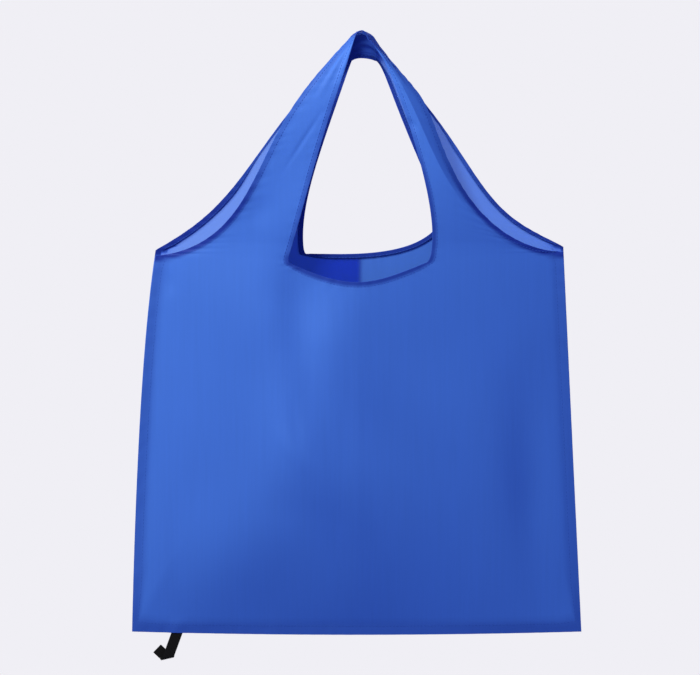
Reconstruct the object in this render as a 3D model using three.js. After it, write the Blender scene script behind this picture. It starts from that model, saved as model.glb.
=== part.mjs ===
// Foldable shopping bag of thin woven polyester, hanging by its arched handle from a peg.
// Two vest-shaped panels are sewn together down the sides and along the bottom. Each panel runs
// up into one arch, so the pair of arches is the handle and the neck cut below them is the mouth.
// Millimetres, +Z up, -Y is the front. The origin is on top of the peg, under the handle's crown.

import * as THREE from "three";

const { clamp, degToRad, lerp, smoothstep } = THREE.MathUtils;

// Driving dimensions of the hung bag
const SHOULDER_WIDTH = 382; // between the tops of the side seams
const BOTTOM_WIDTH = 421; // between the bottom corners
const SHOULDER_DROP = 202.5; // peg down to the tops of the side seams
const BAG_DROP = 561; // peg down to the bottom corners
const BOTTOM_SAG = 3; // how much lower the bottom seam hangs at its middle
const HANG_SHIFT = -4; // the bottom hangs this far to one side of the peg
const SIDE_BOW = { right: 0, left: 5 }; // how far each side seam bows out below the shoulder
const BOW_PLACE = 0.3; // where down the side seam it bows out most
const SEAM_ALLOWANCE = 8; // along the seams both panels lie flat together over this width

// The cloth, drawn thicker than the real 0.1 mm so that each panel is a sound solid
const CLOTH = 0.8;
const HEM_WIDTH = 6;
const HEM_THICKNESS = 1.6;
const HEM_STEP = 1; // the length over which a hem thins down to single cloth
const HEM_ROOM = 2.5; // where a strap is gathered, a hem takes at most one part in this of its width
const SEAM_GAP = 0.6; // from the seam's plane to the middle of either panel's cloth

// How each panel hangs. Points are shares of half the shoulder width and of the shoulder drop.
// shoulder is the share at which the armhole meets the side seam. armhole and neck give the handles
// of a curve that runs down from the crown. Depths, in millimetres, are distances from the seam's
// plane. curl is how far a strap's middle stands out past the straight line between its two edges.
const FRONT = {
  name: "front_panel",
  facing: -1,
  right: {
    shoulder: 1.015,
    armhole: [[0.456, 0.371], [0.312, 0.516], [0.542, 1.02]],
    neck: [[0.146, 0.117], [0.42, 0.817]],
    corner: [0.341, 1.055],
  },
  left: {
    shoulder: 1.032,
    armhole: [[-0.374, 0.39], [-0.499, 0.486], [-0.49, 1.027]],
    neck: [[-0.096, 0.263], [-0.295, 0.841]],
    corner: [-0.344, 1.055],
  },
  neckBottom: [[0.066, 1.171], [-0.033, 1.208]],
  crownNeck: { reach: 7, drop: 9, top: 0 },
  crownDepth: { outer: 5, neck: 16 },
  strapDepth: { right: 8, left: 22 },
  curl: { right: 6, left: 2 },
  bellyDepth: 36,
  armholeGape: 16,
};
const BACK = {
  name: "back_panel",
  facing: 1,
  right: {
    shoulder: 0.99,
    armhole: [[0.238, 0.167], [0.654, 0.761], [0.598, 0.819]],
    neck: [[0.178, 0.094], [0.152, 0.523], [0.469, 0.744]],
    corner: [0.38, 0.9],
  },
  left: {
    shoulder: 1.006,
    armhole: [[-0.442, 0.356], [-0.423, 0.608], [-0.766, 0.9]],
    neck: [[-0.062, 0.176], [-0.32, 0.784]],
    corner: [-0.274, 1.021],
  },
  neckBottom: [[0.251, 1.047], [-0.082, 1.023]],
  crownNeck: { reach: 9, drop: 3, top: -21 },
  crownDepth: { outer: 3, neck: 16 },
  strapDepth: { right: 9, left: 9 },
  curl: { right: 0, left: 0 },
  bellyDepth: 6.5,
  armholeGape: 3,
};

// Over the peg, each handle edge rounds off before it runs down the strap. top is its height above
// the peg, before the strap is pleated. Both panels share this outer edge.
const CROWN_OUTER = { reach: 8, drop: 6, top: 1 };
const CROWN_FLAT = 0.6; // the share of its reach over which an edge runs level off the peg
const STRAP_POWER = 1.2; // how late a strap turns back from its neck edge to its outer edge
const CURL_POWER = 2; // how closely its curl keeps to the strap's middle
const SIDE_POWER = 1.4; // how squarely the belly turns back to the side seams
const BOTTOM_POWER = 3.25; // and to the bottom seam
const TOP_TAPER = 0.42; // the share of the belly's depth that is lost up at the shoulders
const BELLY_START = 0.55; // where down the strap it begins to join the belly
const NECK_TO_SIDE = 0.28; // the share of the neck's bottom that faces each side seam
const PLEATS = 3; // lengthwise pleats where the strap is gathered on the peg
const PLEAT_HEIGHT = 0.9;
const PLEAT_RUN = 0.3; // the share of the strap over which the pleats die out

// The folds of each panel: a ridge out of the bag (or, with a negative height, a valley) from one
// point to another, in the same shares as the outlines, with its half width and height in
// millimetres. Its section is a bell, or a tent with a sharp crest.
const FRONT_FOLDS = [
  { from: [-0.13, 1.31], to: [-0.41, 1.77], width: 30, height: 4 },
  { from: [-0.32, 0.99], to: [-0.24, 1.83], width: 22, height: -7 },
  { from: [0.835, 1.73], to: [0.875, 2.525], width: 26, height: -7 },
  { from: [-0.255, 1.63], to: [-0.32, 2.065], width: 30, height: 7 },
  { from: [-0.325, 2.135], to: [-1.05, 2.865], width: 50, height: 7 },
  { from: [-0.18, 1.44], to: [0.53, 1.905], width: 75, height: -7 },
  { from: [-1.05, 1.045], to: [0.805, 1.98], width: 44, height: 4.3 },
  { from: [-0.33, 2.135], to: [-0.09, 2.01], width: 50, height: 4.8 },
  { from: [-1.05, 2.11], to: [-1.05, 2.665], width: 24, height: 5.2 },
  { from: [0.905, 1.985], to: [0.795, 2.865], width: 48, height: 5.6 },
  { from: [-0.28, 0.75], to: [-0.36, 1.12], width: 28, height: 4.5 },
];
const BACK_FOLDS = [{ from: [-0.02, 1.02], to: [-0.03, 2.64], width: 48, height: 7, creased: true }];
const FOLD_RISE = [-0.4, 0.5]; // along a fold, the shares over which it rises
const FOLD_FALL = [0.5, 1.4]; // and over which it dies out
const SEAM_HOLD = 4; // how near an outer edge a fold still keeps its height

// Steps of the two-way grid on each panel
const STEPS = { crown: 3, armhole: 22, side: 9, halfBottom: 7 };
const ROWS_BETWEEN_HEMS = 11;
const TAPE_STEPS = { straight: 20, turn: 6 };

// The elastic loop, pressed flat, hanging from the bottom seam with its end folded up behind it
const ELASTIC_WIDTH = 10;
const ELASTIC_THICKNESS = 0.9;
const ELASTIC_PLACE = -0.807; // along the bottom seam, as a share of half the bottom width
const ELASTIC_GAP = 0.3; // between the loop's two layers, and to the seam above it
const ELASTIC_LEG = 24; // seam to the fold
const ELASTIC_FOOT = 13; // fold to the loop's closed end
const ELASTIC_LEAN = 20; // degrees that the leg leans to the side
const ELASTIC_FOLD_TILT = 13; // degrees that the fold's line is turned from level
const ELASTIC_FOLD_RADIUS = 1.6;

const polyester = new THREE.MeshStandardMaterial({ color: 0x3e6acc, roughness: 0.5, metalness: 0 });
const elasticTape = new THREE.MeshStandardMaterial({ color: 0x17161b, roughness: 0.85, metalness: 0 });

// A closed skin over a row of rings: each ring is a section of the wall, and the row either
// closes on itself or is capped at both ends.
function skin(rings, looped) {
  const across = rings[0].length;
  const spans = looped ? rings.length : rings.length - 1;
  const faces = [];
  for (let i = 0; i < spans; i++) {
    const here = i * across;
    const next = ((i + 1) % rings.length) * across;
    for (let j = 0; j < across; j++) {
      const after = (j + 1) % across;
      faces.push(here + j, next + after, next + j);
      faces.push(here + j, here + after, next + after);
    }
  }
  if (!looped) {
    const last = spans * across;
    for (let j = 1; j < across - 1; j++) {
      faces.push(0, j + 1, j);
      faces.push(last, last + j, last + j + 1);
    }
  }
  const geometry = new THREE.BufferGeometry().setFromPoints(rings.flat());
  geometry.setIndex(faces);
  geometry.computeVertexNormals();
  return geometry;
}

// A point of the outline in the front view, x across and y up, from its shares
function outlinePoint([across, down]) {
  return new THREE.Vector2((across * SHOULDER_WIDTH) / 2, -down * SHOULDER_DROP);
}

// A place on a curve pulled by its handles: neighbouring points are mixed until one is left
function along(points, k) {
  let level = points;
  while (level.length > 1) {
    level = level.slice(1).map((point, i) => level[i].clone().lerp(point, k));
  }
  return level[0];
}

// The rounded run of a handle edge over the peg, for the right (1) or left (-1) strap
function crownRun({ reach, drop, top }, side) {
  return [
    new THREE.Vector2(0, top),
    new THREE.Vector2(side * CROWN_FLAT * reach, top),
    new THREE.Vector2(side * reach, top - drop),
  ];
}

// The stretches of one side of a panel, from the crown to the middle of the bottom seam.
// Each pairs a run of the outer edge with a run of the neck edge and the depths of both.
function sideStretches(panel, side) {
  const name = side > 0 ? "right" : "left";
  const half = panel[name];
  const shoulder = outlinePoint([side, half.shoulder]);
  const bottomCorner = new THREE.Vector2((side * BOTTOM_WIDTH) / 2, -BAG_DROP);
  const bottomMiddle = new THREE.Vector2(0, -BAG_DROP - BOTTOM_SAG);
  const bottomPull = new THREE.Vector2(bottomCorner.x / 2, bottomMiddle.y);
  const sidePull = shoulder.clone().lerp(bottomCorner, BOW_PLACE);
  sidePull.x += side * 2 * SIDE_BOW[name];
  const crownOuter = crownRun(CROWN_OUTER, side);
  const crownNeck = crownRun(panel.crownNeck, side);
  const armhole = [crownOuter.at(-1), ...half.armhole.map(outlinePoint), shoulder];
  const neckSide = [crownNeck.at(-1), ...half.neck.map(outlinePoint), outlinePoint(half.corner)];
  const neckBottom = [panel.right.corner, ...panel.neckBottom, panel.left.corner].map(outlinePoint);
  if (side < 0) neckBottom.reverse();
  const crownDepth = panel.crownDepth;
  const cornerDepth = panel.bellyDepth * (1 - TOP_TAPER);
  const strapPull = 2 * panel.strapDepth[name] - (crownDepth.neck + cornerDepth) / 2;
  const neckDepth = (k) =>
    (1 - k) ** 2 * crownDepth.neck + 2 * k * (1 - k) * strapPull + k ** 2 * cornerDepth;
  return [
    {
      steps: STEPS.crown,
      outer: (k) => along(crownOuter, k),
      neck: (k) => along(crownNeck, k),
      strap: () => ({ ...crownDepth, curl: 0, gathered: 1, belly: 0 }),
    },
    {
      steps: STEPS.armhole,
      outer: (k) => along(armhole, k),
      neck: (k) => along(neckSide, k),
      strap: (k) => ({
        outer: lerp(crownDepth.outer, SEAM_GAP, k) + panel.armholeGape * Math.sin(Math.PI * k),
        neck: neckDepth(k),
        curl: panel.curl[name] * Math.sin(Math.PI * k),
        gathered: 1 - smoothstep(k, 0, PLEAT_RUN),
        belly: smoothstep(k, BELLY_START, 1),
      }),
    },
    {
      steps: STEPS.side,
      outer: (k) => along([shoulder, sidePull, bottomCorner], k),
      neck: (k) => along(neckBottom, k * NECK_TO_SIDE),
    },
    {
      steps: STEPS.halfBottom,
      outer: (k) => along([bottomCorner, bottomPull, bottomMiddle], k),
      neck: (k) => along(neckBottom, lerp(NECK_TO_SIDE, 0.5, k)),
    },
  ];
}

// Every station round a panel's loop: crown, right side, bottom, left side and back to the crown.
// A station on the straps also knows how its strap is drawn over and gathered there.
function stations(panel) {
  const walk = (side) => {
    const stretches = sideStretches(panel, side);
    const station = ({ outer, neck, strap }, k) => ({ outer: outer(k), neck: neck(k), strap: strap?.(k) });
    const found = stretches.flatMap((stretch) =>
      Array.from({ length: stretch.steps }, (_, i) => station(stretch, i / stretch.steps)),
    );
    return [found, station(stretches.at(-1), 1)];
  };
  const [right, bottomMiddle] = walk(1);
  const [left] = walk(-1);
  return [...right, bottomMiddle, ...left.slice(1).reverse()];
}

// The rows from the neck edge to the outer edge: three on each hem, the rest spaced evenly
function rowShares(length) {
  const reach = Math.max(length, HEM_ROOM * (HEM_WIDTH + HEM_STEP));
  const hem = [0, HEM_WIDTH, HEM_WIDTH + HEM_STEP].map((distance) => distance / reach);
  const inner = hem[2];
  const between = Array.from({ length: ROWS_BETWEEN_HEMS }, (_, i) =>
    lerp(inner, 1 - inner, (i + 1) / (ROWS_BETWEEN_HEMS + 1)),
  );
  return [...hem, ...between, 1 - hem[2], 1 - hem[1], 1];
}

// How far a soft fold lifts the cloth at a place: a bell across the fold, faded at its two ends
function foldLift(fold, x, z) {
  const from = outlinePoint(fold.from);
  const crest = outlinePoint(fold.to).sub(from);
  const place = new THREE.Vector2(x, z).sub(from);
  const share = place.dot(crest) / crest.lengthSq();
  const aside = place.cross(crest) / crest.length();
  const fade = smoothstep(share, ...FOLD_RISE) * (1 - smoothstep(share, ...FOLD_FALL));
  const across = Math.abs(aside) / fold.width;
  return fold.height * fade * Math.exp(-(fold.creased ? across : across ** 2));
}

// The belly's depth at a place: full over the middle, drawn in towards the shoulders, and nothing
// from the seam allowances outwards
function bellyDepth(panel, place) {
  const aboveSeam = place.y + BAG_DROP + BOTTOM_SAG - SEAM_ALLOWANCE;
  const up = clamp(aboveSeam / (BAG_DROP - SHOULDER_DROP), 0, 1);
  const bow = place.x < 0 ? SIDE_BOW.left : SIDE_BOW.right;
  const halfWidth = lerp(BOTTOM_WIDTH, SHOULDER_WIDTH, up) / 2 + 4 * bow * up * (1 - up) * up;
  const out = Math.min(Math.abs(place.x) / (halfWidth - SEAM_ALLOWANCE), 1);
  const fullness = (1 - out ** SIDE_POWER) * (1 - (1 - up) ** BOTTOM_POWER);
  const tapered = fullness * (1 - TOP_TAPER * up ** 2);
  return lerp(SEAM_GAP, panel.bellyDepth, tapered);
}

// The depth at a share of the way from a station's neck edge to its outer edge
function depthAt(panel, { strap }, place, share) {
  const belly = bellyDepth(panel, place);
  if (!strap) return belly;
  const turned = lerp(strap.neck, strap.outer, share ** STRAP_POWER);
  const drawnOver = turned + strap.curl * (4 * share * (1 - share)) ** CURL_POWER;
  return lerp(drawnOver, belly, strap.belly);
}

// The grid's normals, pointing out of the bag, from its neighbours round the loop and across
function normalsOf(grid, facing) {
  const wrap = (i) => (i + grid.length) % grid.length;
  return grid.map((row, i) =>
    row.map((_, j) => {
      const round = grid[wrap(i + 1)][j].clone().sub(grid[wrap(i - 1)][j]);
      const low = row[Math.max(j - 1, 0)];
      const high = row[Math.min(j + 1, row.length - 1)];
      return round.cross(high.clone().sub(low)).normalize().multiplyScalar(-facing);
    }),
  );
}

// One panel: the cloth's middle surface is laid out from the neck edge to the outer edge, pleated
// and folded along its normals, and then given its thickness with the hems turned to the inside.
function panelGeometry(panel, folds) {
  const loop = stations(panel);
  const shares = loop.map(({ neck, outer, strap }) => {
    const drawnBack = strap ? strap.neck - strap.outer : panel.bellyDepth;
    return rowShares(Math.hypot(neck.distanceTo(outer), drawnBack));
  });
  const smoothGrid = loop.map((station, i) =>
    shares[i].map((share) => {
      const place = station.neck.clone().lerp(station.outer, share);
      const sway = (HANG_SHIFT * place.y) / -BAG_DROP;
      return new THREE.Vector3(place.x + sway, panel.facing * depthAt(panel, station, place, share), place.y);
    }),
  );
  const lifts = normalsOf(smoothGrid, panel.facing);
  const grid = smoothGrid.map((row, i) =>
    row.map((point, j) => {
      const share = shares[i][j];
      const gathered = loop[i].strap?.gathered ?? 0;
      const pleat = PLEAT_HEIGHT * gathered * Math.sin(2 * Math.PI * PLEATS * share);
      const fadeToSeam = 1 - share ** SEAM_HOLD;
      const fold = folds.reduce((sum, each) => sum + foldLift(each, point.x, point.z), 0);
      return point.clone().addScaledVector(lifts[i][j], pleat + fold * fadeToSeam);
    }),
  );
  const outward = normalsOf(grid, panel.facing);
  const rings = grid.map((row, i) => {
    const lastRow = row.length - 1;
    const isHem = (j) => j < 2 || (loop[i].strap && j > lastRow - 2);
    const outside = row.map((point, j) => point.clone().addScaledVector(outward[i][j], CLOTH / 2));
    const inside = row.map((point, j) => {
      const thickness = isHem(j) ? HEM_THICKNESS : CLOTH;
      return point.clone().addScaledVector(outward[i][j], CLOTH / 2 - thickness);
    });
    return panel.facing < 0 ? [...inside, ...outside.reverse()] : [...outside, ...inside.reverse()];
  });
  return skin(rings, true);
}

// The elastic: a tape that runs down, turns back on itself and runs up again, pressed flat, with
// the doubled tape then folded up behind itself about a nearly level line.
function elasticGeometry() {
  const lean = degToRad(ELASTIC_LEAN);
  const tilt = degToRad(ELASTIC_FOLD_TILT);
  const down = new THREE.Vector2(-Math.sin(lean), -Math.cos(lean));
  const across = new THREE.Vector2(Math.cos(lean), -Math.sin(lean));
  const foldLine = new THREE.Vector2(Math.cos(tilt), Math.sin(tilt));
  const belowFold = new THREE.Vector2(Math.sin(tilt), -Math.cos(tilt));
  const seamShare = ELASTIC_PLACE ** 2;
  const seam = new THREE.Vector2(
    (ELASTIC_PLACE * BOTTOM_WIDTH) / 2 + HANG_SHIFT,
    -BAG_DROP - BOTTOM_SAG * (1 - seamShare) - CLOTH - ELASTIC_GAP,
  );
  const hinge = down.clone().multiplyScalar(ELASTIC_LEG);
  const layer = (ELASTIC_THICKNESS + ELASTIC_GAP) / 2;

  // A place on the unfolded doubled tape, down its length, aside and out from its middle, folded up
  const folded = (length, aside, out) => {
    const flat = down.clone().multiplyScalar(length).addScaledVector(across, aside).sub(hinge);
    const level = flat.dot(foldLine);
    const past = flat.dot(belowFold);
    const radius = ELASTIC_FOLD_RADIUS;
    const quarter = (Math.PI / 2) * radius;
    const turn = clamp(past / radius, -Math.PI / 2, Math.PI / 2);
    const beyond = Math.max(Math.abs(past) - quarter, 0);
    const drop = (radius + out) * Math.cos(turn) - beyond;
    const place = seam.clone().add(hinge).addScaledVector(foldLine, level).addScaledVector(belowFold, drop);
    return new THREE.Vector3(place.x, (radius + out) * Math.sin(turn) + radius, place.y);
  };

  // The tape's own centre line on the doubled tape: down one layer, round the end, up the other
  const { straight, turn: turnSteps } = TAPE_STEPS;
  const leg = Array.from({ length: straight + 1 }, (_, i) => i / straight);
  const run = leg.map((share) => ({ share, angle: Math.PI / 2 }));
  for (let i = 1; i < turnSteps; i++) {
    run.push({ share: 1, angle: Math.PI / 2 - (Math.PI * i) / turnSteps });
  }
  run.push(...leg.reverse().map((share) => ({ share, angle: -Math.PI / 2 })));
  const rings = run.map(({ share, angle }) => {
    // The sewn ends are cut level with the seam, so the tape's two edges start at different places
    const at = (distance, aside) => {
      const start = -aside * Math.tan(lean);
      return folded(
        lerp(start, ELASTIC_LEG + ELASTIC_FOOT, share) + distance * Math.cos(angle),
        aside,
        distance * Math.sin(angle),
      );
    };
    const near = layer - ELASTIC_THICKNESS / 2;
    const far = layer + ELASTIC_THICKNESS / 2;
    const half = ELASTIC_WIDTH / 2;
    return [at(near, -half), at(near, half), at(far, half), at(far, -half)];
  });
  return skin(rings, false);
}

function named(name, geometry, material) {
  const mesh = new THREE.Mesh(geometry, material);
  mesh.name = name;
  return mesh;
}

const bag = new THREE.Group();
bag.add(named(FRONT.name, panelGeometry(FRONT, FRONT_FOLDS), polyester));
bag.add(named(BACK.name, panelGeometry(BACK, BACK_FOLDS), polyester));
bag.add(named("elastic_loop", elasticGeometry(), elasticTape));

export default bag;
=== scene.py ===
# %% [markdown]
# # A folding shopping bag, hanging from a peg
# The bag is two vest-shaped panels of thin polyester, sewn together down the sides and along the
# bottom. Each panel runs up into an arch, and the two arches hang over one peg. A doubled elastic
# tape in the bottom seam holds the bag when it is rolled up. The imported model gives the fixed
# frame: every surface below is worked out in that frame, in millimetres, and lies over its solid.

# %% Load the frame
import math

import bpy
import numpy as np
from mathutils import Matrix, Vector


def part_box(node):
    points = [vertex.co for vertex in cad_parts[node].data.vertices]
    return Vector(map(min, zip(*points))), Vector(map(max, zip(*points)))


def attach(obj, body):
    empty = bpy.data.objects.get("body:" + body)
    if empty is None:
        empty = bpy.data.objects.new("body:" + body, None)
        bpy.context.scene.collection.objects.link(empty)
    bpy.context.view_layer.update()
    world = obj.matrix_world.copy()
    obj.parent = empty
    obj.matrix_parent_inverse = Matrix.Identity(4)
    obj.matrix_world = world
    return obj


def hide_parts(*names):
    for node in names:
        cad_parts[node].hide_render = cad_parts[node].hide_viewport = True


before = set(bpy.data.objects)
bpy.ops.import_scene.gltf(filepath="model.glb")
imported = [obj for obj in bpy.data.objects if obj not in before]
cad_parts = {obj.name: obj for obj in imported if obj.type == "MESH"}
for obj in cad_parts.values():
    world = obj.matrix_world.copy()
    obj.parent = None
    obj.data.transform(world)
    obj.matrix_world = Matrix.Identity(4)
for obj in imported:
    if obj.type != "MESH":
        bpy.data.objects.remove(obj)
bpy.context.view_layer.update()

print("CAD nodes:", sorted(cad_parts))

# %% [markdown]
# ## Camera
# The photograph looks straight at the bag from a little under two metres. One pixel there is
# 0.9375 mm on the seam's plane, so the lens and the camera's place follow from the picture's width
# and from the pixel where the handle bears on the peg, which is the frame's origin.

# %% Camera
MM = 0.001
IMAGE_SIZE = (700, 675)
PEG_PIXEL = (361, 33)
MM_PER_PIXEL = 0.9375
CAMERA_DISTANCE = 1800
SENSOR_WIDTH = 36

camera_data = bpy.data.cameras.new("camera")
camera_data.sensor_width = SENSOR_WIDTH
camera_data.lens = SENSOR_WIDTH * CAMERA_DISTANCE / (IMAGE_SIZE[0] * MM_PER_PIXEL)
camera = bpy.data.objects.new("camera", camera_data)
bpy.context.scene.collection.objects.link(camera)
bpy.context.scene.camera = camera
view_x = (IMAGE_SIZE[0] / 2 - PEG_PIXEL[0]) * MM_PER_PIXEL
view_z = (PEG_PIXEL[1] - IMAGE_SIZE[1] / 2) * MM_PER_PIXEL
camera.location = (view_x * MM, -CAMERA_DISTANCE * MM, view_z * MM)
camera.rotation_euler = (math.pi / 2, 0, 0)
print(f"camera lens {camera_data.lens:.1f} mm at {tuple(round(c, 4) for c in camera.location)}")

# %% [markdown]
# ## Outlines of the hung panels
# On the bench each panel is a flat vest shape, but hung from one peg its edges take up new curves:
# the straps lean in to the crown and the neck opens. Those edges could be traced point by point.
# Curves with a few handles say the same with fewer numbers, so each edge is one Bezier curve, with
# its handles given as shares of half the shoulder width and of the drop to the shoulder. Where a
# value differs from side to side, 1 is the right side and -1 the left one.
#
# A panel also has depths in millimetres: of its crown, of its straps, of its belly, and of the gape
# of its armholes. A crease has a height, and a crest that starts and ends at shares of the strap's
# width. A hem that is rolled edge-on at the top turns flat between two drops, to a share of the full
# hem width. The last two values are for the finish: the light that passes at the armholes, raised
# there, and more on the left, to stand in for light from behind; and a painted shadow of the left
# strap, on the inside under the neck.

# %% Driving sizes
front_low, front_high = (np.array(corner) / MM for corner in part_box("front_panel"))
BOTTOM_WIDTH = front_high[0] - front_low[0]
HANG_SHIFT = (front_high[0] + front_low[0]) / 2
BOTTOM_SAG = 3.0  # the middle of the bottom seam hangs this much below its corners
BAG_DROP = -front_low[2] - BOTTOM_SAG
SHOULDER_WIDTH = 382.0
SHOULDER_DROP = 202.5
SIDE_BOW = {1: 0.0, -1: 5.0}  # how far each side seam bows out
CROWN_TOP = 1.0  # height of the outer edge over the peg point
CROWN_OUTER = {1: (12.0, 6.0), -1: (10.0, 6.0)}  # reach and drop of the outer edge's arc on the peg

FRONT = dict(
    facing=-1,  # -1 is out of the bag's front, and 1 out of its back
    shoulder={1: 1.015, -1: 1.032},  # the drop to each shoulder
    armhole={
        1: [(0.373, 0.453), (0.385, 0.113), (0.28, 0.946), (0.824, 1.005)],
        -1: [(-0.389, 0.376), (-0.495, 0.516), (-0.483, 0.99)],
    },
    neck={
        1: [(0.177, 0.163), (0.222, 0.44), (0.413, 0.83)],
        -1: [(-0.105, 0.29), (-0.207, 0.483), (-0.281, 0.877)],
    },
    corner={1: (0.343, 1.06), -1: (-0.354, 1.064)},  # where the neck's sides meet its bottom
    neck_bottom=[(0.066, 1.171), (-0.033, 1.208)],
    crown_neck={1: (7.0, 9.0, 0.0), -1: (7.0, 9.0, 0.0)},  # the neck arc's reach, drop and top
    crown_depth=(5.0, 14.0),  # at the outer edge and at the neck edge
    strap_depth={1: 16.0, -1: 20.0},
    crease={1: (5.0, 0.05, 0.95), -1: (0.0, 0.5, 0.5)},
    belly=36.0,
    gape={1: 9.0, -1: 16.0},
    hem_rolled={1: (-1.0, 0.0, 1.0), -1: (-1.0, 0.0, 1.0)},
    neck_hem=1.0,  # share of the full hem width
    through={1: 0.14, -1: 0.14},
    inside_painted_shadow=0.0,
)
BACK = dict(
    facing=1,
    shoulder={1: 0.99, -1: 1.006},
    armhole={
        1: [(0.146, 0.213), (0.589, 0.423), (0.525, 0.834), (0.748, 0.86)],
        -1: [(-0.28, 0.292), (-0.514, 0.48), (-0.571, 0.766), (-0.768, 0.878)],
    },
    neck={
        1: [(0.131, 0.112), (0.17, 0.469), (0.481, 0.861)],
        -1: [(-0.069, 0.17), (-0.178, 0.516), (-0.314, 0.772)],
    },
    corner={1: (0.38, 0.9), -1: (-0.274, 1.021)},
    neck_bottom=[(0.251, 1.047), (-0.082, 1.023)],
    crown_neck={1: (13.5, 2.5, -21.0), -1: (9.0, 3.0, -21.0)},
    crown_depth=(3.0, 16.0),
    strap_depth={1: 9.0, -1: 9.0},
    crease={1: (0.0, 0.5, 0.5), -1: (0.0, 0.5, 0.5)},
    belly=6.5,
    gape={1: 3.0, -1: 3.0},
    hem_rolled={1: (0.42, 0.56, 0.65), -1: (0.55, 0.78, 1.0)},
    neck_hem=0.78,
    # light that passes near each armhole: raised there, and more on the left, to stand in for light
    # from behind
    through={1: 0.63, -1: 0.88},
    # depth of the painted shadow inside, left of the middle under the neck
    inside_painted_shadow=0.85,
)
print(f"bag {BOTTOM_WIDTH:.0f} mm wide at the bottom, {BAG_DROP:.0f} mm from peg to corners")

# %% Curve helpers
def place(share):
    """A point of the front view in mm: shares of half the shoulder width and of its drop."""
    return np.array([share[0] * SHOULDER_WIDTH / 2, -share[1] * SHOULDER_DROP])


def bezier(points, k):
    """The curve pulled by its handles: neighbouring points are mixed in the ratio 1 - k to k, and
    the mixes are mixed again, until one point is left for each k."""
    k = np.asarray(k, float)[:, None]
    level = [np.asarray(point, float)[None, :] for point in points]
    while len(level) > 1:
        level = [(1 - k) * a + k * b for a, b in zip(level[:-1], level[1:])]
    return level[0]


def smoothstep(value, low, high):
    """An even S from 0 at low to 1 at high: 3 t^2 - 2 t^3 of the share t between them."""
    t = np.clip((value - low) / (high - low), 0, 1)
    return t * t * (3 - 2 * t)


def mix(a, b, share):
    """The value a share of the way from a to b."""
    return a + (b - a) * share


def evened(values, reach):
    """The mean of each value with its neighbours round the loop, up to reach stations either way."""
    return np.mean([np.roll(values, step, axis=0) for step in range(-reach, reach + 1)], axis=0)


for outline, panel in (("front", FRONT), ("back", BACK)):
    shoulders = [place((side, panel["shoulder"][side])).round(1).tolist() for side in (-1, 1)]
    print(f"{outline} shoulders at {shoulders} mm")

# %% Half of a panel's loop
STEPS = dict(crown=14, armhole=96, side=64, half_bottom=40)  # stations along each stretch
CROWN_PULL = 0.6  # the arc on the peg has its handle at this share of its reach
SIDE_PULL = 0.3  # the side seam has its handle at this share of its length
NECK_TO_SIDE = 0.28  # share of the neck's bottom that runs with the side seam
SEAM_HALF = 0.35  # half the distance between the middles of the two panels at their seams
TOP_TAPER = 0.42  # share of the belly's depth that is lost at the top
BELLY_START = 0.55  # share of the armhole at which the strap starts to turn into the belly
PLEAT_RUN = 0.3  # share of the armhole over which the gathers open out
ROLLED_HEM = 0.3  # share of a hem's width that shows where it is edge-on


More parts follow.
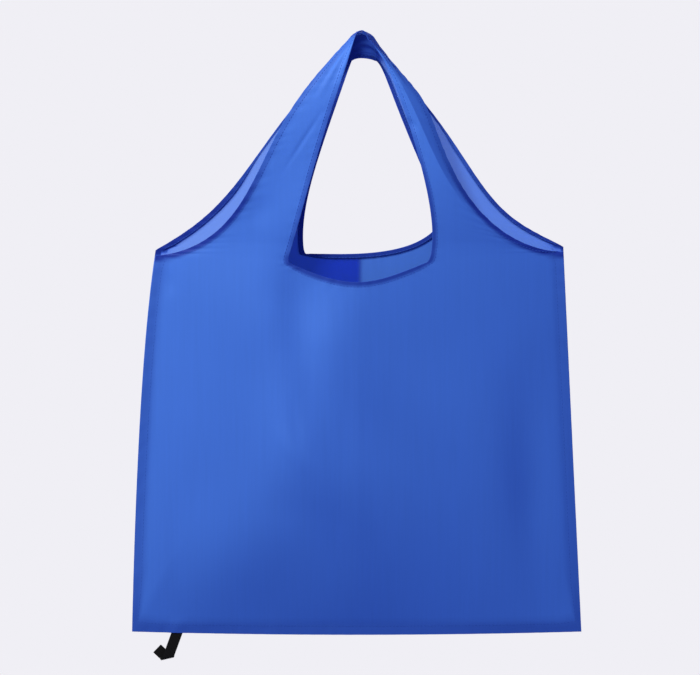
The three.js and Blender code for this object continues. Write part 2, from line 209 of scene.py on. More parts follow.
def half_loop(panel, side):
    """One side of a panel from the crown to the middle of the bottom seam, as arrays over the
    stations: outer and neck edge points, and the depths, crease, hem width and gathering of the
    strap at each. Every stretch runs both edges from k = 0 to 1 together: crown arcs, armhole with
    neck side, side seam with the neck's bottom corner, and half the bottom seam with the rest of
    the neck."""
    k = {name: np.arange(count) / count for name, count in STEPS.items()}
    k["half_bottom"] = np.linspace(0, 1, STEPS["half_bottom"] + 1)
    shoulder = place((side, panel["shoulder"][side]))
    bottom_corner = np.array([side * BOTTOM_WIDTH / 2, -BAG_DROP])
    bottom_middle = np.array([0, -BAG_DROP - BOTTOM_SAG])
    side_pull = mix(shoulder, bottom_corner, SIDE_PULL) + [side * 2 * SIDE_BOW[side], 0]
    bottom_pull = np.array([bottom_corner[0] / 2, bottom_middle[1]])

    def crown_arc(reach, drop, top):
        """Handles of an arc from the crown's top out by its reach and down by its drop."""
        return [(0, top), (side * CROWN_PULL * reach, top), (side * reach, top - drop)]

    crown_outer = crown_arc(*CROWN_OUTER[side], CROWN_TOP)
    crown_neck = crown_arc(*panel["crown_neck"][side])
    armhole = [crown_outer[2], *map(place, panel["armhole"][side]), shoulder]
    neck_side = [crown_neck[2], *map(place, panel["neck"][side]), place(panel["corner"][side])]
    neck_bottom = [place(panel["corner"][side]), *map(place, panel["neck_bottom"][::side])]
    neck_bottom.append(place(panel["corner"][-side]))
    outer = [
        bezier(crown_outer, k["crown"]),
        bezier(armhole, k["armhole"]),
        bezier([shoulder, side_pull, bottom_corner], k["side"]),
        bezier([bottom_corner, bottom_pull, bottom_middle], k["half_bottom"]),
    ]
    neck = [
        bezier(crown_neck, k["crown"]),
        bezier(neck_side, k["armhole"]),
        bezier(neck_bottom, k["side"] * NECK_TO_SIDE),
        bezier(neck_bottom, mix(NECK_TO_SIDE, 0.5, k["half_bottom"])),
    ]
    crown_out, crown_in = panel["crown_depth"]
    corner_depth = panel["belly"] * (1 - TOP_TAPER)
    strap_pull = 2 * panel["strap_depth"][side] - (crown_in + corner_depth) / 2
    strap_neck = bezier([[crown_in], [strap_pull], [corner_depth]], k["armhole"])[:, 0]
    down = k["armhole"]
    hump = np.sin(math.pi * down)
    strap_outer = mix(crown_out, SEAM_HALF, down) + panel["gape"][side] * hump
    crease_height, *crest = panel["crease"][side]
    drop = -outer[1][:, 1] / SHOULDER_DROP
    *roll, flat_hem = panel["hem_rolled"][side]
    hem_width = mix(ROLLED_HEM, flat_hem, smoothstep(drop, *roll))
    counts = (len(k["crown"]), len(down), len(k["side"]) + len(k["half_bottom"]))

    def stations(on_crown, on_armhole, on_seams):
        """The three stretches' values end to end, each an array or one value all along."""
        values = (on_crown, on_armhole, on_seams)
        return np.concatenate([np.full(count, value, float) for count, value in zip(counts, values)])

    return dict(
        outer=np.concatenate(outer),
        neck=np.concatenate(neck),
        strap_outer=stations(crown_out, strap_outer, 0),
        strap_neck=stations(crown_in, strap_neck, 0),
        crease=stations(0, crease_height * hump, 0),
        crest=stations(crest[0], mix(*crest, down), crest[1]),
        hem_width=stations(hem_width[0], hem_width, 1),
        gathered=stations(1, 1 - smoothstep(down, 0, PLEAT_RUN), 0),
        belly=stations(0, smoothstep(down, BELLY_START, 1), 1),
        hemmed=stations(1, 1, 0),
    )


print(f"{sum(STEPS.values()) + 1} stations down each side of a panel")

# %% Whole loop
CORNER_ROUND = 4  # stations either way over which the neck's corners are rounded


def panel_loop(panel):
    """Every station round a panel: down the right side from the crown, and back up the left. Below
    the gathers the neck's points are evened out, which rounds its two corners."""
    right, left = half_loop(panel, 1), half_loop(panel, -1)
    loop = {key: np.concatenate([right[key], left[key][-2:0:-1]]) for key in right}
    loose = loop["gathered"][:, None] == 0
    loop["neck"] = np.where(loose, evened(loop["neck"], CORNER_ROUND), loop["neck"])
    return loop


print(f"{len(panel_loop(FRONT)['neck'])} stations round each panel")

# %% [markdown]
# ## The cloth between the edges
# Thin polyester barely stretches, so the hung panel is a smooth belly that closes down to the side
# and bottom seams, and straps that turn from the belly to lie over the peg. The right front strap is
# drawn into a crease, whose crest crosses from its neck edge to its armhole. A cloth simulation
# could find such a shape, but not the very one in the photograph. Here the surface is worked out:
# rows run from the neck edge to the outer edge, the depth of each point is a formula, and folds,
# pleats and seam puckers are then raised along the normals.

# %% Cloth sizes
CLOTH = 0.4  # the real cloth is about 0.1 mm thick, which is too thin for a clean mesh
HEM_WIDTH = 5.4
HEM_THICKNESS = 1.1
HEM_STEP = 0.3  # half the width over which a hem thins down to the single cloth
HEM_STITCH = 4  # the stitches' distance from the edge
HEM_STEP_ENDS = (HEM_WIDTH - HEM_STEP, HEM_WIDTH + HEM_STEP)
HEM_ROWS = np.array([0, 0.4, 1.2, 2.4, HEM_STITCH, *HEM_STEP_ENDS, 8])
HEM_ROOM = 2.5  # a panel is taken as at least this many times as wide as the rows of one hem
ROWS_BETWEEN_HEMS = 72
SEAM_ALLOWANCE = 8.0
STRAP_POWER = 1.2
SIDE_POWER = 1.4
BOTTOM_POWER = 3.25
print(f"hems {HEM_WIDTH} mm wide, {2 * len(HEM_ROWS) + ROWS_BETWEEN_HEMS} rows across each panel")

# %% Smooth surface
NECK_SLANT = 0.8  # least sines of the angles at which the rows are taken to meet the edges
OUTER_SLANT = 0.3
SLANT_REACH = 3


def unit(vectors):
    """Vectors scaled to length one."""
    return vectors / np.linalg.norm(vectors, axis=-1, keepdims=True)


def belly_depth(panel, x, z):
    """Depth of the belly: full over the middle, and nothing from the seam allowance outwards. It is
    the product of 1 - out^p across, with out running from the middle line to the side seam, of
    1 - (1 - up)^q upwards from the bottom seam, and of a taper that draws in the top with up^2. The
    side seam itself bows out by 4 bow up^2 (1 - up)."""
    height = BAG_DROP - SHOULDER_DROP
    up = np.clip((z + BAG_DROP + BOTTOM_SAG - SEAM_ALLOWANCE) / height, 0, 1)
    bow = np.where(x < 0, SIDE_BOW[-1], SIDE_BOW[1])
    half_width = mix(BOTTOM_WIDTH, SHOULDER_WIDTH, up) / 2 + 4 * bow * up * up * (1 - up)
    out = np.clip(np.abs(x) / (half_width - SEAM_ALLOWANCE), 0, 1)
    fullness = (1 - out**SIDE_POWER) * (1 - (1 - up) ** BOTTOM_POWER) * (1 - TOP_TAPER * up**2)
    return mix(SEAM_HALF, panel["belly"], fullness)


def slant(edge, line, length, least):
    """Sine of the angle at which the lines across a panel meet one of its edges: the root of
    1 - cos^2, held above the least sine and evened out over the neighbouring stations, so that a
    hem keeps its width."""
    way = unit(np.roll(edge, -1, axis=0) - np.roll(edge, 1, axis=0))
    cosine = np.sum(way * line, axis=1) / length
    return evened(np.sqrt(np.clip(1 - cosine**2, least**2, 1)), SLANT_REACH)


def smooth_surface(panel, loop):
    """Rows from the neck edge to the outer edge. Across, a point lies a share of the way between the
    edges. Its depth mixes the strap into the belly. The strap turns back from its neck edge, and its
    crease rises evenly to the crest and falls evenly from it. The whole bag sways a little to one
    side as it goes down. The distances square to both edges are given too, stretched where a hem is
    narrower, so that they always reach HEM_WIDTH at its inner edge."""
    drawn_back = np.where(loop["belly"] < 1, loop["strap_neck"] - loop["strap_outer"], panel["belly"])
    line = loop["outer"] - loop["neck"]
    length = np.hypot(np.linalg.norm(line, axis=1), drawn_back)
    room = HEM_ROOM * HEM_ROWS[-1]
    neck_reach = np.maximum(length * slant(loop["neck"], line, length, NECK_SLANT), room)[:, None]
    outer_reach = np.maximum(length * slant(loop["outer"], line, length, OUTER_SLANT), room)[:, None]
    neck_rows = HEM_ROWS * panel["neck_hem"] / neck_reach
    outer_rows = 1 - HEM_ROWS[::-1] * loop["hem_width"][:, None] / outer_reach
    between = np.linspace(0, 1, ROWS_BETWEEN_HEMS + 2)[None, 1:-1]
    middle_rows = mix(neck_rows[:, -1:], outer_rows[:, :1], between)
    share = np.concatenate([neck_rows, middle_rows, outer_rows], axis=1)
    flat = mix(loop["neck"][:, None, :], loop["outer"][:, None, :], share[:, :, None])
    x, z = flat[..., 0], flat[..., 1]
    column = {key: values[:, None] for key, values in loop.items() if values.ndim == 1}
    turned = mix(column["strap_neck"], column["strap_outer"], share**STRAP_POWER)
    crest = np.minimum(share / column["crest"], (1 - share) / (1 - column["crest"]))
    drawn_over = turned + column["crease"] * crest
    depth = mix(drawn_over, belly_depth(panel, x, z), column["belly"])
    sway = HANG_SHIFT * z / -BAG_DROP
    surface = np.stack([x + sway, panel["facing"] * depth, z], axis=-1)
    from_neck = share * neck_reach / panel["neck_hem"]
    from_outer = (1 - share) * outer_reach / loop["hem_width"][:, None]
    return surface, share, from_neck, from_outer


def outward_normals(surface, facing):
    """The cross product of the steps round the loop and across the rows, turned out of the bag."""
    around = np.roll(surface, -1, axis=0) - np.roll(surface, 1, axis=0)
    across = np.gradient(surface, axis=1)
    return unit(np.cross(around, across)) * -facing


print(f"the front panel is {belly_depth(FRONT, 0, -BAG_DROP / 2):.1f} mm deep half way down")

# %% [markdown]
# ## Folds, pleats and puckers
# What tells thin polyester from a plate is its relief. Slack cloth hangs in a few long soft folds,
# the straps are pleated where they are gathered on the peg, and every row of stitches draws the
# cloth up into small puckers. Each is a height added along the normal, so they simply add up.

# %% Folds
FOLD_OVERRUN = 0.4  # a fold fades out over this share of its length past either end
FRONT_FOLDS = [  # start and end as shares, width and height in mm, and the power of its section
    ((-0.13, 1.31), (-0.41, 1.77), 30, 4.0, 2),
    ((-0.32, 0.99), (-0.24, 1.83), 22, -7.0, 2),
    ((0.835, 1.73), (0.875, 2.525), 26, -7.0, 2),
    ((-0.255, 1.63), (-0.32, 2.065), 30, 7.0, 2),
    ((-0.325, 2.135), (-1.05, 2.865), 50, 7.0, 2),
    ((-0.18, 1.44), (0.53, 1.905), 75, -7.0, 2),
    ((-1.05, 1.045), (0.805, 1.98), 44, 4.3, 2),
    ((-0.33, 2.135), (-0.09, 2.01), 50, 4.8, 2),
    ((-1.05, 2.11), (-1.05, 2.665), 24, 5.2, 2),
    ((0.905, 1.985), (0.795, 2.865), 48, 5.6, 2),
    ((-0.28, 0.75), (-0.36, 1.12), 28, 4.5, 2),
    ((0.232, 0.412), (0.262, 0.449), 2.5, -1.6, 2),
    ((-0.203, 0.394), (-0.349, 0.606), 2.2, -0.5, 2),
    ((-0.48, 0.773), (-0.514, 0.875), 12, -1.0, 2),
    ((-0.385, 1.85), (-0.28, 2.01), 6, 1.1, 2),
    ((-0.33, 1.73), (-0.285, 1.93), 5, -0.9, 2),
    ((-0.96, 1.11), (-0.93, 1.2), 6, -2.0, 2),
]
BACK_FOLDS = [
    ((-0.02, 1.02), (-0.03, 2.64), 48, 7.0, 1),
]


def fold_height(folds, x, z):
    """Sum of folds. A fold is a ridge (or valley) from one point to another: along it the height
    fades in and out, and across it falls off as exp(-(distance / width)^power), which is a bell
    for power 2 and a sharp crease for power 1."""
    total = np.zeros_like(x)
    for start, end, width, height, power in folds:
        origin = place(start)
        along = place(end) - origin
        run = np.linalg.norm(along)
        dx, dz = x - origin[0], z - origin[1]
        share = (dx * along[0] + dz * along[1]) / run**2
        aside = np.abs(dx * along[1] - dz * along[0]) / run
        rise = smoothstep(share, -FOLD_OVERRUN, 0.5)
        fade = rise * (1 - smoothstep(share, 0.5, 1 + FOLD_OVERRUN))
        total += height * fade * np.exp(-((aside / width) ** power))
    return total


print(f"{len(FRONT_FOLDS)} folds on the front, {len(BACK_FOLDS)} on the back")

# %% Swelling and puckers
ELASTIC_PLACE = -0.807  # share of half the bottom seam
ELASTIC_X = ELASTIC_PLACE * BOTTOM_WIDTH / 2 + HANG_SHIFT
ELASTIC_Z = -BAG_DROP - BOTTOM_SAG * (1 - ELASTIC_PLACE**2)
SWELL_HEIGHT = 1.1
SWELL_SIZE = (7.5, 11)  # half its width and half its height
SWELL_SHIFT = 2  # the sewn ends lean this much to the right of the tape below them
NECK_PUCKER = dict(height=0.12, pitch=13, reach=9)
OUTER_PUCKER = dict(height=0.22, pitch=14, reach=10)
PUCKER_WANDER = [(1.7, 61, 0), (1.1, 37, 1)]  # two slow waves: size and start in radians, length in mm


def elastic_swell(x, z):
    """The seam's swelling over the elastic's sewn ends: a flat-topped bump of its half thickness,
    exp(-a^4) across times exp(-b^4) down, with a and b the distances in half widths."""
    aside = (x - ELASTIC_X - SWELL_SHIFT) / SWELL_SIZE[0]
    above = (z - ELASTIC_Z) / SWELL_SIZE[1]
    return SWELL_HEIGHT * np.exp(-(aside**4) - above**4)


def edge_run(points):
    """Distance walked along a closed edge, from the crown, at each of its points."""
    steps = np.linalg.norm(np.roll(points, -1, axis=0) - points, axis=1)
    return np.concatenate([[0], np.cumsum(steps)[:-1]])


def pucker(run, distance, height, pitch, reach):
    """Small waves along a row of stitches: a sine of the walk along the edge whose pitch wanders,
    dying out as exp(-(distance / reach)^2) away from the edge."""
    slow = [size * np.sin(2 * math.pi * run / length + start) for size, length, start in PUCKER_WANDER]
    wave = np.sin(2 * math.pi * run / pitch + sum(slow))
    return height * wave[:, None] * np.exp(-((distance / reach) ** 2))


print(f"the elastic is sewn in at x {ELASTIC_X:.1f}, z {ELASTIC_Z:.1f} mm")

# %% Relief
PLEATS = 3
PLEAT_HEIGHT = 0.9
PLEATED_WIDTH = 45.0  # a strap narrower than this has lower pleats
SLACK_POWER = 4


def panel_surface(panel, folds):
    """A panel's middle surface with its relief, its outward normals and its loop's values. Pleats are
    a sine across the gathered strap. The outer edge is held by its seam or hem, so the folds fade
    towards it as 1 - share^SLACK_POWER."""
    loop = panel_loop(panel)
    smooth, share, from_neck, from_outer = smooth_surface(panel, loop)
    x, z = smooth[..., 0], smooth[..., 2]
    width = np.linalg.norm(loop["outer"] - loop["neck"], axis=1)
    gathered = loop["gathered"] * np.clip(width / PLEATED_WIDTH, 0, 1)
    pleats = PLEAT_HEIGHT * gathered[:, None] * np.sin(2 * math.pi * PLEATS * share)
    slack = fold_height(folds, x, z) * (1 - share**SLACK_POWER)
    neck_puckers = pucker(edge_run(loop["neck"]), from_neck, **NECK_PUCKER)
    outer_puckers = pucker(edge_run(loop["outer"]), from_outer, **OUTER_PUCKER)
    height = pleats + slack + (neck_puckers + outer_puckers) + elastic_swell(x, z)
    surface = smooth + height[..., None] * outward_normals(smooth, panel["facing"])
    return surface, outward_normals(surface, panel["facing"]), loop, from_neck, from_outer


print(f"{PLEATS} pleats of {PLEAT_HEIGHT} mm on the peg")

# %% [markdown]
# ## Cloth with thickness and turned hems
# The neck and armholes are hemmed: the edge is turned in twice and stitched, so it is three layers
# thick and rounded. A Solidify modifier gives one even thickness, so the section is laid out
# instead: the outside row, a rounded edge, the inside row set further in on the hems, and the
# other rounded edge. Carried round the loop, the section closes into one skin.

# %% Skin of a piece
EDGE_TURN = np.radians([30, 60, 90, 120, 150])
EDGE_BULGE = 0.8  # share of a full half circle that a pressed edge keeps


def wrapped_faces(around, across, closed=True):
    """Quads of a grid that closes on itself across, and also around where closed is true."""
    i = np.arange(around if closed else around - 1)[:, None]
    j = np.arange(across)[None, :]
    i_next, j_next = (i + 1) % around, (j + 1) % across
    corners = [i * across + j, i_next * across + j, i_next * across + j_next, i * across + j_next]
    return np.stack(corners, axis=-1).reshape(-1, 4)


def skin(name, points, faces, values=None):
    """A smooth-shaded mesh object from points in mm, with a named number for each point."""
    mesh = bpy.data.meshes.new(name)
    mesh.from_pydata((points.reshape(-1, 3) * MM).tolist(), [], [list(face) for face in faces])
    mesh.polygons.foreach_set("use_smooth", np.ones(len(mesh.polygons), bool))
    for key, numbers in (values or {}).items():
        attribute = mesh.attributes.new(key, "FLOAT", "POINT")
        attribute.data.foreach_set("value", np.asarray(numbers, np.float32).ravel())
    mesh.update()
    made = bpy.data.objects.new(name, mesh)
    bpy.context.scene.collection.objects.link(made)
    print(f"{name}: {len(mesh.vertices)} points, {len(mesh.polygons)} faces")
    return made


def turned_edge(middle, normal, outward, radius):
    """A pressed half circle from the outside row to the inside row: radius times cos along the normal
    and EDGE_BULGE sin along the edge's outward direction, for each angle of EDGE_TURN."""
    angle = EDGE_TURN[None, :, None]
    radius = radius[:, None, None]
    swing = np.cos(angle) * normal[:, None, :] + EDGE_BULGE * np.sin(angle) * outward[:, None, :]
    return middle[:, None, :] + radius * swing


print(f"edges rounded in {len(EDGE_TURN) + 1} faces")

# %% [markdown]
# ## Layered cloth and painted shade
# Layers of dyed cloth look deeper than single cloth and pass less light. The layers could each be a
# mesh, but cloth this thin would only cut through itself. So every point carries two numbers for the
# finish instead: how deep its colour is, from 0 for single cloth to 1, and how much light passes.
# That depth is partly the layers and partly painted shade. Hems, seam allowances and the gathered
# crown are in layers, and painted shade makes them deeper or paler from side to side and from top
# to bottom, after the light. The armhole hems lie flatter towards the shoulders, and are painted
# darker there. Inside, left of the middle under the neck, is a painted shadow of the left strap.
# Light passes best at the armholes, where the back shows past the front; its share there is raised,
# and more on the left, to stand in for light from behind.

# %% Shades of the layers and painted shade
# Depth of colour of each mark, from the layers and from painted shade.
SHADE = dict(  # pairs run from top to bottom, and the hood's from left to right
    neck_line_left=0.5,
    neck_line_right=(0.25, 0.7),
    neck_line_bottom=0.8,
    neck_hem=0.85,
    arm_band=(0.35, 0.9),
    arm_hem=(0.5, 0.9),
    narrow_hem=0.8,
    seam=(0.3, 0.45),
    crown=0.8,
    hood=(0.87, 0.6),
)
THROUGH_BODY = 0.14
# Light let through in the painted shadow inside, as shares of its depth, for the outside and the
# inside.
THROUGH_IN_PAINTED_SHADOW = (0.3, 0.85)  # shares of the inside's tone, for the outside and the inside
RAMPS = dict(
    # shares of the drop to the shoulder, and for the bottom seam of the whole drop
    hem_flattens=(0.5, 0.85),
    neck_line_starts=(0.2, 0.35),
    neck_line_deepens=(0.4, 0.7),
    neck_bottom=(1, 1.08),
    mouth_level=(0.8, 0.95),
    bottom_seam=(0.9, 0.99),
    # share of full gathering
    layered=(0.7, 1),
    # places in mm
    right_side=(-10, 10),
    crown_top=(-9, -2),
    # where the painted shadow inside ends, in mm across the middle
    painted_shadow_end=(-4, 3),
    # distances from an edge in mm
    hem=HEM_STEP_ENDS,
    neck_line=(1.5, HEM_WIDTH + 1),
    arm_band=(3, HEM_WIDTH + 1.5),
    seam=(SEAM_ALLOWANCE / 2, 2 * SEAM_ALLOWANCE),
    mouth=(50, 100),
    lit_edge=(20, 45),
)


def ramp(name, value):
    """The even S that runs from 0 to 1 between the two ends of that name."""
    return smoothstep(value, *RAMPS[name])


def most(*values):
    """The largest of several values at each point."""
    return np.maximum.reduce(np.broadcast_arrays(*values))


print(f"{len(SHADE)} shades, bounded by {len(RAMPS)} ramps")

# %% Shade of every point
def armhole_distance(surface, loop):
    """Distance in the front view from every point to the armholes' edges. On each short stretch of
    an edge the nearest place is the foot of the square from the point, held between the two ends."""
    flat = surface[..., [0, 2]]
    hemmed = loop["hemmed"] > 0
    stretches = hemmed | np.roll(hemmed, -1)
    start = flat[stretches, -1]
    step = np.roll(flat[:, -1], -1, axis=0)[stretches] - start

    def row_distance(points):
        """Distance of each point of a row to the nearest foot."""
        apart = points[:, None, :] - start
        foot = np.clip(np.sum(apart * step, axis=-1) / np.sum(step**2, axis=-1), 0, 1)
        return np.min(np.linalg.norm(apart - foot[..., None] * step, axis=-1), axis=1)

    return np.stack([row_distance(flat[:, row]) for row in range(flat.shape[1])], axis=1)


def cloth_shades(panel, surface, loop, from_neck, to_outer, to_seam):
    """Depth of colour outside and inside, and the shares of light that pass there. The depth is partly
    layers and partly painted shade. Each kind of mark is its shade times ramps that bound it, and
    where marks overlap the deepest counts. The neck's edge shows outside as a narrow line of painted
    shade over its hem. The light of single cloth is cut by the hems' depth."""
    x, z = surface[..., 0], surface[..., 2]
    drop = -z / SHOULDER_DROP
    right = ramp("right_side", x)
    flat = ramp("hem_flattens", drop[:, -1:])
    layered = ramp("layered", loop["gathered"])[:, None]
    shoulder_hem = mix(panel["hem_rolled"][-1][2], panel["hem_rolled"][1][2], right)
    hem_width = np.where(loop["hemmed"][:, None] > 0, loop["hem_width"][:, None], shoulder_hem)
    to_armhole = armhole_distance(surface, loop)
    in_hem = to_armhole / hem_width

    # Along the front's neck edge, the hem's layers with painted shade: none near the crown, deeper on
    # the right lower down, and deepest along the neck's bottom.
    right_line = mix(*SHADE["neck_line_right"], ramp("neck_line_deepens", drop))
    neck_line = mix(SHADE["neck_line_left"], right_line, right) * ramp("neck_line_starts", drop)
    neck_line = mix(neck_line, SHADE["neck_line_bottom"], ramp("neck_bottom", drop))
    neck_line = neck_line * (1 - ramp("neck_line", from_neck))
    # Inside the armhole edges, the hem's layers with painted shade of the rolled edge, darker towards
    # the shoulders.
    arm_band = mix(*SHADE["arm_band"], flat) * (1 - ramp("arm_band", in_hem))
    # The gathered crown, painted deeper all over on the right and only along the top on the left.
    crown = layered * mix(ramp("crown_top", z), 1, right)
    # Seam allowances, layers with painted shade where the edges curve away, deeper along the bottom.
    seam = mix(*SHADE["seam"], ramp("bottom_seam", -z / BAG_DROP)) * (1 - ramp("seam", to_seam))
    outside = most(neck_line, arm_band, SHADE["crown"] * crown, seam)

    # Inside, the hems' layers with painted shade: the armhole hems darker towards the shoulders, and
    # paler where rolled narrow.
    neck_hem = SHADE["neck_hem"] * (1 - ramp("hem", from_neck))
    arm_hem = mix(*SHADE["arm_hem"], flat) * (1 - ramp("hem", np.minimum(in_hem, to_outer)))
    arm_hem = arm_hem * mix(SHADE["narrow_hem"], 1, hem_width)
    # The hood inside the gathered crown is painted shade over its layers, deeper on the left.
    hood = layered * mix(*SHADE["hood"], right)
    # Painted shadow of the left strap on the back's inside, down in the mouth and left of the middle.
    mouth = ramp("mouth_level", drop) * (1 - ramp("mouth", from_neck))
    painted_shadow = panel["inside_painted_shadow"] * (mouth * (1 - ramp("painted_shadow_end", x)))
    # The hems' and hood's depth, layers and painted shade, also cuts the light that passes.
    layers = most(neck_hem, arm_hem, hood)
    inside = most(layers, painted_shadow)

    # Light that passes: raised near the armholes, and more on the left, to stand in for light from
    # behind; and let through in the painted shadow inside.
    edge_through = mix(panel["through"][-1], panel["through"][1], right)
    single = mix(edge_through, THROUGH_BODY, ramp("lit_edge", to_armhole))
    through = [most(single, share * painted_shadow) * (1 - layers) for share in THROUGH_IN_PAINTED_SHADOW]
    print(f"mean shade {outside.mean():.2f} outside, {inside.mean():.2f} inside")
    return outside, inside, *through


# %% Panel mesh
FAR = 1000.0  # stands for the distance to an edge that a station doesn't have


def panel_object(name, panel, folds):
    """The panel's skin. The section runs over the outside from neck to outer edge, round that edge,
    back over the inside and round the neck edge. Each point carries its depth of colour, from layers
    and painted shade, under the name hem, and the light that passes, under the name through. No light
    passes round the edges."""
    surface, normal, loop, from_neck, from_outer = panel_surface(panel, folds)
    hemmed = loop["hemmed"][:, None] > 0
    to_outer, to_seam = np.where(hemmed, from_outer, FAR), np.where(hemmed, FAR, from_outer)
    shades = cloth_shades(panel, surface, loop, from_neck, to_outer, to_seam)
    outside_shade, inside_shade, outside_through, inside_through = shades
    hem = 1 - ramp("hem", np.minimum(from_neck, to_outer))
    thickness = mix(CLOTH, HEM_THICKNESS, hem)
    outside = surface + normal * (CLOTH / 2)
    inside = outside - normal * thickness[..., None]
    outer_way = unit(surface[:, -1] - surface[:, -3])
    neck_way = unit(surface[:, 0] - surface[:, 2])
    middle, half = (outside + inside) / 2, thickness / 2
    outer_edge = turned_edge(middle[:, -1], normal[:, -1], outer_way, half[:, -1])
    neck_edge = turned_edge(middle[:, 0], normal[:, 0], neck_way, half[:, 0])
    section = np.concatenate([outside, outer_edge, inside[:, ::-1], neck_edge[:, ::-1]], axis=1)
    turns = len(EDGE_TURN)
    outer_end = np.repeat(inside_shade[:, -1:], turns, axis=1)
    neck_end = np.repeat(outside_shade[:, :1], turns, axis=1)
    # Depth of colour from layers and painted shade, round the whole section.
    shade = np.concatenate([outside_shade, outer_end, inside_shade[:, ::-1], neck_end], axis=1)
    faces = wrapped_faces(section.shape[0], section.shape[1])
    if panel["facing"] > 0:
        faces = faces[:, ::-1]
    no_light = np.zeros((len(section), turns))
    lit = np.concatenate([outside_through, no_light, inside_through[:, ::-1], no_light], axis=1)
    made = skin(name, section, faces, {"hem": shade, "through": lit})
    return made, surface, normal, loop["hemmed"] > 0


front_panel, *front_cloth = panel_object("front_panel_cloth", FRONT, FRONT_FOLDS)
back_panel, *back_cloth = panel_object("back_panel_cloth", BACK, BACK_FOLDS)

# %% [markdown]
# ## Elastic loop
# The loop is a 10 mm ribbed elastic tape, doubled and caught in the bottom seam. In use it has been
# pressed flat, and its end is folded up behind it. A profile on a curve would pinch at so tight a
# fold. So the tape is laid out flat first: down one layer, round the closed end and up the other.
# That flat strip is then bent about the fold's line.

# %% Fold of the elastic
ELASTIC_LEG = 24.0  # from the seam down to the fold
ELASTIC_FOOT = 13.0  # from the fold up to the closed end
ELASTIC_LEAN = math.radians(20)
ELASTIC_FOLD_TILT = math.radians(13)
ELASTIC_FOLD_RADIUS = 1.6


def fold_up(along, aside, out):
    """The flat doubled tape bent about the fold's line. A point's distance past that line becomes an
    angle round the fold's radius, held between a quarter turn either way, and what is left over
    runs straight up from there."""
    down = np.array([-math.sin(ELASTIC_LEAN), -math.cos(ELASTIC_LEAN)])
    across = np.array([math.cos(ELASTIC_LEAN), -math.sin(ELASTIC_LEAN)])
    line = np.array([math.cos(ELASTIC_FOLD_TILT), math.sin(ELASTIC_FOLD_TILT)])
    below = np.array([math.sin(ELASTIC_FOLD_TILT), -math.cos(ELASTIC_FOLD_TILT)])
    hinge = down * ELASTIC_LEG
    flat = along[..., None] * down + aside[..., None] * across - hinge
    level, past = flat @ line, flat @ below
    turn = np.clip(past / ELASTIC_FOLD_RADIUS, -math.pi / 2, math.pi / 2)
    beyond = np.maximum(np.abs(past) - math.pi / 2 * ELASTIC_FOLD_RADIUS, 0)
    drop = (ELASTIC_FOLD_RADIUS + out) * np.cos(turn) - beyond
    xz = np.array([ELASTIC_X, ELASTIC_Z]) + hinge + level[..., None] * line + drop[..., None] * below
    y = (ELASTIC_FOLD_RADIUS + out) * np.sin(turn) + ELASTIC_FOLD_RADIUS
    return np.stack([xz[..., 0], y, xz[..., 1]], axis=-1)


print(f"elastic {ELASTIC_LEG} mm down and {ELASTIC_FOOT} mm folded up")

# %% Elastic mesh
ELASTIC_WIDTH = 10.0
ELASTIC_THICKNESS = 0.9
ELASTIC_GAP = 0.3
ELASTIC_IN_SEAM = 9.0
ELASTIC_RIBS = 8
RIB_HEIGHT = 0.12
RIB_STEPS = 8  # faces across each rib
RIB_FADE = 8  # the ribs fade towards the tape's edges as 1 - across^8
TAPE_STEPS = 70
END_STEPS = 12


def elastic_skin():
    """A ribbed tape section carried down one layer, round the closed end and up the other. The
    section's two faces ripple as cos(pi ribs across), with across from -1 to 1, so the ribs are real
    relief. A strip of quads closes each end."""
    straight, turn = np.linspace(0, 1, TAPE_STEPS), np.linspace(0, 1, END_STEPS)[1:-1]
    along = np.concatenate([straight, np.ones(len(turn)), straight[::-1]])
    angle = np.concatenate([0 * straight + 0.5, 0.5 - turn, 0 * straight - 0.5]) * math.pi
    across = np.linspace(-1, 1, RIB_STEPS * ELASTIC_RIBS + 1)
    ripple = RIB_HEIGHT * np.cos(math.pi * across * ELASTIC_RIBS) * (1 - across**RIB_FADE)
    layer = (ELASTIC_THICKNESS + ELASTIC_GAP) / 2
    half = ELASTIC_THICKNESS / 2 - RIB_HEIGHT
    distance = np.concatenate([layer + half + ripple, (layer - half - ripple)[::-1]])
    aside = np.concatenate([across, across[::-1]]) * ELASTIC_WIDTH / 2
    start = -ELASTIC_IN_SEAM - aside * math.tan(ELASTIC_LEAN)
    flat_along = mix(start[None, :], ELASTIC_LEG + ELASTIC_FOOT, along[:, None])
    flat_along = flat_along + distance[None, :] * np.cos(angle[:, None])
    out = distance[None, :] * np.sin(angle[:, None])
    points = fold_up(flat_along, np.broadcast_to(aside, out.shape), out)
    faces = wrapped_faces(*out.shape, closed=False)
    around = out.shape[1]
    i = np.arange(len(across) - 1)
    start_end = np.stack([i, i + 1, around - 2 - i, around - 1 - i], axis=1)
    other_end = start_end[:, ::-1] + (out.shape[0] - 1) * around
    return skin("elastic_loop_tape", points, np.concatenate([faces, start_end, other_end]))


elastic_loop = elastic_skin()

# %% [markdown]
# ## Stitches
# Each hem is held by one row of lockstitch, and the seams are topstitched a presser foot's width
# inside the edge. A stitch is a short piece of thread that rises out of one hole and goes down into
# the next. A line drawn by a material would be flat, so each stitch is a small capsule laid on the
# cloth. There are many, so each has only a few dozen faces, and all are worked out as one array.

# %% Places of the stitches
STITCH_PITCH = 3.2
WAY_STEP = 0.5  # the row's direction is read between points this far either way


